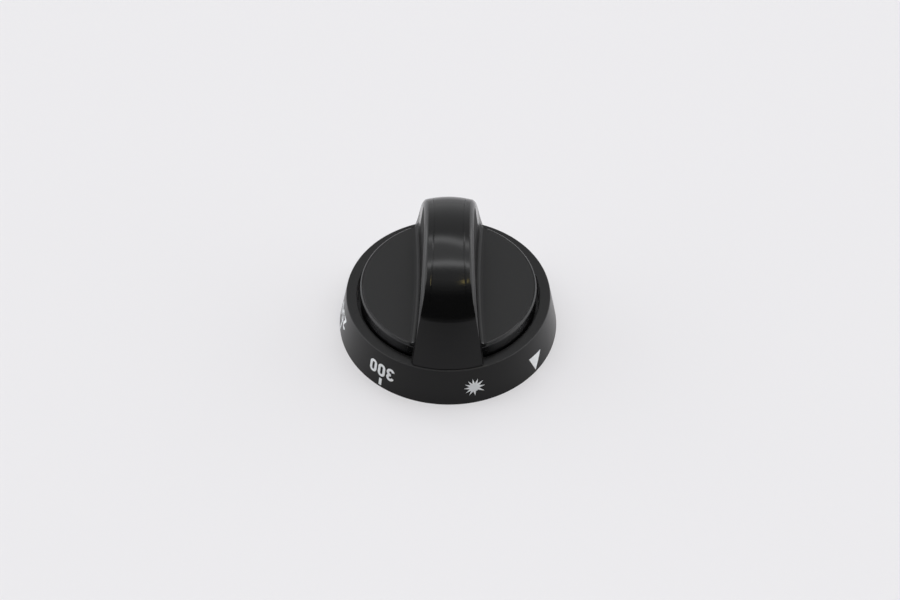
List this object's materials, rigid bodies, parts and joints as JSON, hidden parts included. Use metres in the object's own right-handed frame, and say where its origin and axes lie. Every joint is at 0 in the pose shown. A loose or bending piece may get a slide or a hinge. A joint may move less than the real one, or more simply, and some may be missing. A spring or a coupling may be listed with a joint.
{
  "type": "control knob",
  "caption": "Black dial knob with a tall bar grip and a temperature scale round its skirt, turning an appliance's 8 mm D-shaped spindle.",
  "frame": {"origin": "centre of the knob's base, on the plane of the skirt's rim", "axes": "+Z along the spindle axis, out of the appliance to the top of the bar grip; the grip runs along Y, and the 300 mark of the scale is to the left of -Y"},
  "size_m": [0.07, 0.07, 0.042],
  "materials": {
    "ring_plastic": "fine satin moulded black",
    "grip_plastic": "semi-gloss moulded black",
    "spring_steel": "plain spring steel"
  },
  "bodies": {
    "root": {"dial_ring": "ring_plastic", "grip": "grip_plastic", "hub_band": "spring_steel"}
  },
  "joints": []
}
